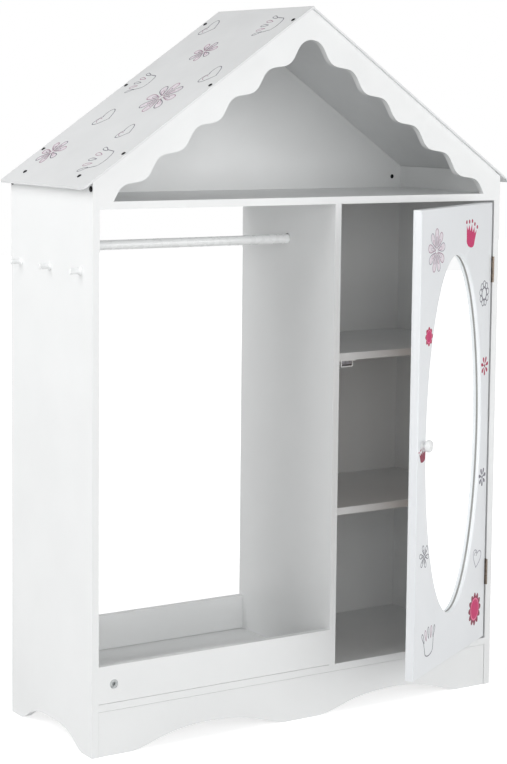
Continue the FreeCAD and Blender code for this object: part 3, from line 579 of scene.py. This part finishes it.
# ================= prints on the door =================
def door_place(from_hinge, height, tilt):
    """The plane of a motif on the door's front: its distance from the hinge axis and its height."""
    on_shut_door = Matrix.Translation((HINGE_AXIS.x - from_hinge, FRONT_Y, height))
    upright = Matrix.Rotation(math.radians(90), 4, "X")
    swing = (
        Matrix.Translation(HINGE_AXIS)
        @ Matrix.Rotation(DOOR_AJAR, 4, "Z")
        @ Matrix.Translation(-HINGE_AXIS)
    )
    return swing @ on_shut_door @ upright @ Matrix.Rotation(math.radians(tilt), 4, "Z")


def print_door(inks):
    """The motifs round the mirror, from the top of the door down."""
    mauve_and_grey = (inks["mauve"], inks["pale_grey"])
    grey_twice = (inks["grey"], inks["grey"])

    def motif(name, from_hinge, height, tilt, draw, *sizes_and_inks):
        art = Print("door_print_" + name, door_place(from_hinge * MM, height * MM, tilt))
        draw(art, *sizes_and_inks)
        art.finish("door")

    motif("tall_flower", 256, 790, 0,
          draw_outlined_flower, 36 * MM, 9, mauve_and_grey, LINE * 0.8, inks["blush"])
    motif("solid_crown", 102, 811, -12,
          draw_solid_crown, 52 * MM, 50 * MM, inks["fuchsia"], inks["crimson"])
    motif("grey_bead_flower", 34, 702, 0,
          draw_bead_flower, 22 * MM, 9, inks["grey"])
    motif("fuchsia_flower", 282, 652, 0,
          draw_solid_flower, 16 * MM, 8, inks["crimson"], inks["rose"], inks["fuchsia"])
    motif("rose_flower", 24.5, 575, 0,
          draw_petal_flower, 17 * MM, 7, inks["crimson"], inks["plum"])
    motif("crimson_crown", 300, 461, 8,
          draw_solid_crown, 29 * MM, 26 * MM, inks["plum"], inks["crimson"])
    motif("dark_flower", 25, 379, 0,
          draw_petal_flower, 16.5 * MM, 7, inks["grey"], inks["grey"])
    motif("grey_open_flower", 285, 289.5, 20,
          draw_outlined_flower, 20 * MM, 6, grey_twice, LINE * 0.8)
    motif("open_heart", 42, 239, -14,
          draw_heart, 38 * MM, 36 * MM, inks["pale_grey"], inks["grey"])
    motif("solid_flower", 48, 148, 0,
          draw_solid_flower, 29.5 * MM, 12, inks["plum"], inks["rose"], inks["fuchsia"])
    motif("open_crown", 259, 142, 5,
          draw_open_crown, 50 * MM, 50 * MM, inks["grey"], inks["mauve"])


# ================= prints on the roof =================
UPWARD = 0.5               # least share of a roof face's normal that points up
OUTWARD = 0.3              # and that points to its own side


def roof_top(node, side):
    """A point of a roof sheet's top face, and the face's normal."""
    mesh = NODES[node].data
    facing = [
        face for face in mesh.polygons
        if face.normal.z > UPWARD and face.normal.x * side > OUTWARD
    ]
    top = max(facing, key=lambda face: face.area)
    return mesh.vertices[top.vertices[0]].co.copy(), top.normal.copy()


def roof_place(node, side, across, along, turn):
    """The plane of a motif: across from the middle (m), along the depth from the front (m)."""
    anchor, normal = roof_top(node, side)
    x = side * across
    y = FRONT_Y + along
    z = anchor.z - (normal.x * (x - anchor.x) + normal.y * (y - anchor.y)) / normal.z
    depth = Vector((0, 1, 0))
    right = depth.cross(normal)
    place = Matrix((right, depth, normal)).transposed().to_4x4()
    place.translation = Vector((x, y, z))
    return place @ Matrix.Rotation(math.radians(turn), 4, "Z")


def print_roof_side(side, side_name, inks):
    """The motifs of one slope; side is -1 on the left and 1 on the right."""
    pink_and_grey = (inks["mauve"], inks["grey"])

    def motif(name, across, along, turn, draw, *sizes_and_inks):
        place = roof_place(side_name + "_roof_panel", side, across * MM, along * MM, turn)
        art = Print(side_name + "_roof_print_" + name, place)
        draw(art, *sizes_and_inks)
        art.finish("cabinet")

    crowns = (
        ("crown_ridge", 43, 59, 54),
        ("crown_rear", 181, 236, 54),
        ("crown_eave", 358, 62, 60),
    )
    for name, across, along, size in crowns:
        motif(name, across, along, 6,
              draw_open_crown, size * MM, size * 0.9 * MM, inks["grey"], inks["mauve"])

    hearts = (
        ("heart_ridge", 43, 246, 44),
        ("heart_front", 163, 45, 46),
        ("heart_rear", 266, 210, 46),
        ("heart_eave", 296, 85, 38),
    )
    for name, across, along, size in hearts:
        motif(name, across, along, -10,
              draw_heart, size * MM, size * 0.85 * MM, inks["grey"], inks["mauve"])

    flowers = (
        ("flower_upper", 106, 161, 28, 7),
        ("flower_big", 217, 111, 41, 8),
        ("flower_eave", 349, 237, 31, 7),
    )
    for name, across, along, radius, petals in flowers:
        motif(name, across, along, 0,
              draw_outlined_flower, radius * MM, petals, pink_and_grey, LINE, inks["blush"])


def build_prints():
    """Every motif, in inks that they share."""
    inks = {
        "fuchsia": ink("ink_fuchsia", FUCHSIA),
        "crimson": ink("ink_crimson", CRIMSON),
        "rose": ink("ink_rose", ROSE),
        "plum": ink("ink_plum", PLUM),
        "blush": ink("ink_blush", BLUSH),
        "mauve": ink("ink_mauve", MAUVE_INK),
        "grey": ink("ink_grey", GREY_INK),
        "pale_grey": ink("ink_pale_grey", PALE_GREY_INK),
    }
    print_door(inks)
    print_roof_side(-1, "left", inks)
    print_roof_side(1, "right", inks)


# ================= studio =================
FLOOR_HALF = 9.0           # half of the floor's side
FLOOR_CORNER = 2.0         # radius of its corners
CORNER_STEPS = 8
NEAR_GLOW = 0.7            # added to the floor as the camera and the mirror see it
FAR_GLOW = 1.0
GLOW_REACH = (0.5, 1.1)    # the distances from the middle between which the glow rises


def seen_directly(tree, hidden, seen):
    """The value seen for the camera and mirrored rays, and hidden for all other light."""
    rays = tree.nodes.new("ShaderNodeLightPath")
    direct = tree.nodes.new("ShaderNodeMath")
    direct.operation = "MAXIMUM"
    tree.links.new(rays.outputs["Is Camera Ray"], direct.inputs[0])
    tree.links.new(rays.outputs["Is Glossy Ray"], direct.inputs[1])
    return remap(tree, direct.outputs[0], hidden, seen, 0, 1)


def floor_outline():
    """A square with rounded corners about the middle of the frame."""
    outline = []
    for corner in range(4):
        quarter = Matrix.Rotation(math.radians(90 * corner), 2)
        middle = quarter @ Vector((1, 1)) * (FLOOR_HALF - FLOOR_CORNER)
        for step in range(CORNER_STEPS + 1):
            turn = math.radians(90 * corner + 90 * step / CORNER_STEPS)
            outline.append(middle + Vector((math.cos(turn), math.sin(turn))) * FLOOR_CORNER)
    return outline


def floor_material():
    """Pale paper that looks white to the camera and keeps soft shadows near the feet."""
    material, tree, shader = new_material("studio_floor")
    place = surface_point(tree)
    clouds = remap(tree, noise(tree, place, 0.5, 3), 0, 1)
    tones = mix_colour(tree, clouds, (0.60, 0.60, 0.60), (0.66, 0.66, 0.66))
    tree.links.new(tones, shader.inputs["Base Color"])
    shader.inputs["Roughness"].default_value = 0.8
    shader.inputs["Emission Color"].default_value = (1, 1, 1, 1)
    distance = tree.nodes.new("ShaderNodeVectorMath")
    distance.operation = "LENGTH"
    tree.links.new(place, distance.inputs[0])
    glow = remap(tree, distance.outputs["Value"], NEAR_GLOW, FAR_GLOW, *GLOW_REACH)
    dimming = tree.nodes.new("ShaderNodeMath")
    dimming.operation = "MULTIPLY"
    tree.links.new(seen_directly(tree, 0, 1), dimming.inputs[0])
    tree.links.new(glow, dimming.inputs[1])
    tree.links.new(dimming.outputs[0], shader.inputs["Emission Strength"])
    return material


def build_floor():
    """The pale floor that the feet stand on."""
    mesh = bmesh.new()
    mesh.faces.new([mesh.verts.new((point.x, point.y, 0)) for point in floor_outline()])
    data = bpy.data.meshes.new("studio_floor")
    mesh.to_mesh(data)
    mesh.free()
    data.materials.append(floor_material())
    floor = bpy.data.objects.new("studio_floor", data)
    bpy.context.scene.collection.objects.link(floor)


WORLD_LIGHT = 0.23         # what the pieces get from the studio's white walls
WORLD_SEEN = 1.0           # the walls as the camera and the mirror see them


def build_world():
    """White all round, which lights the pieces only a little."""
    world = bpy.data.worlds.new("studio")
    bpy.context.scene.world = world
    world.use_nodes = True
    tree = world.node_tree
    backing = tree.nodes["Background"]
    backing.inputs["Color"].default_value = (1, 1, 1, 1)
    tree.links.new(seen_directly(tree, WORLD_LIGHT, WORLD_SEEN), backing.inputs["Strength"])


def softbox(name, place, size, power):
    """A large soft light that faces LIT_POINT."""
    lamp = bpy.data.lights.new(name, "AREA")
    lamp.shape = "RECTANGLE"
    lamp.size, lamp.size_y = size
    lamp.energy = power
    light = bpy.data.objects.new(name, lamp)
    light.location = place
    facing = Vector(LIT_POINT) - Vector(place)
    light.rotation_euler = facing.to_track_quat("-Z", "Y").to_euler()
    bpy.context.scene.collection.objects.link(light)


LIT_POINT = (0, 0, 0.6)    # every softbox faces it
LIGHTS = (                 # name, place, size, power in watts
    ("left_softbox", (-3.6, 0.3, 1.6), (2.6, 2.2), 27),
    ("left_front_softbox", (-2.8, -3.2, 1.1), (2.6, 2.2), 27),
    ("front_softbox", (-0.6, -3.8, 1.4), (3.0, 2.4), 54),
    ("right_front_softbox", (2.4, -3.4, 1.3), (2.6, 2.2), 46),
    ("high_left_softbox", (-2.2, 0.1, 1.9), (1.8, 1.6), 28),
)


def build_lights():
    for name, place, size, power in LIGHTS:
        softbox(name, place, size, power)


# ---- camera ----
CAMERA_PLACE = (-1.8255, FRONT_Y - 2.6708, 1.0310)
CAMERA_TURN = -32.544      # degrees about the vertical, to the right of straight back
CAMERA_PITCH = -5.780
CAMERA_ROLL = -0.568
LENS = 93.36
SHIFT = (0.0095, -0.1067)


def build_camera():
    """A view from the front left, a little above the top shelf."""
    lens = bpy.data.cameras.new("camera")
    lens.lens = LENS
    lens.shift_x, lens.shift_y = SHIFT
    camera = bpy.data.objects.new("camera", lens)
    turn = Matrix.Rotation(math.radians(CAMERA_TURN), 4, "Z")
    pitch = Matrix.Rotation(math.radians(CAMERA_PITCH), 4, "X")
    roll = Matrix.Rotation(math.radians(CAMERA_ROLL), 4, "Y")
    level = Matrix.Rotation(math.radians(90), 4, "X")
    camera.matrix_world = Matrix.Translation(CAMERA_PLACE) @ turn @ pitch @ roll @ level
    bpy.context.scene.collection.objects.link(camera)
    bpy.context.scene.camera = camera


dress_cad_nodes(build_materials())
soften_boards()
build_prints()
build_floor()
build_world()
build_lights()
build_camera()
bpy.context.scene.view_settings.view_transform = "Standard"
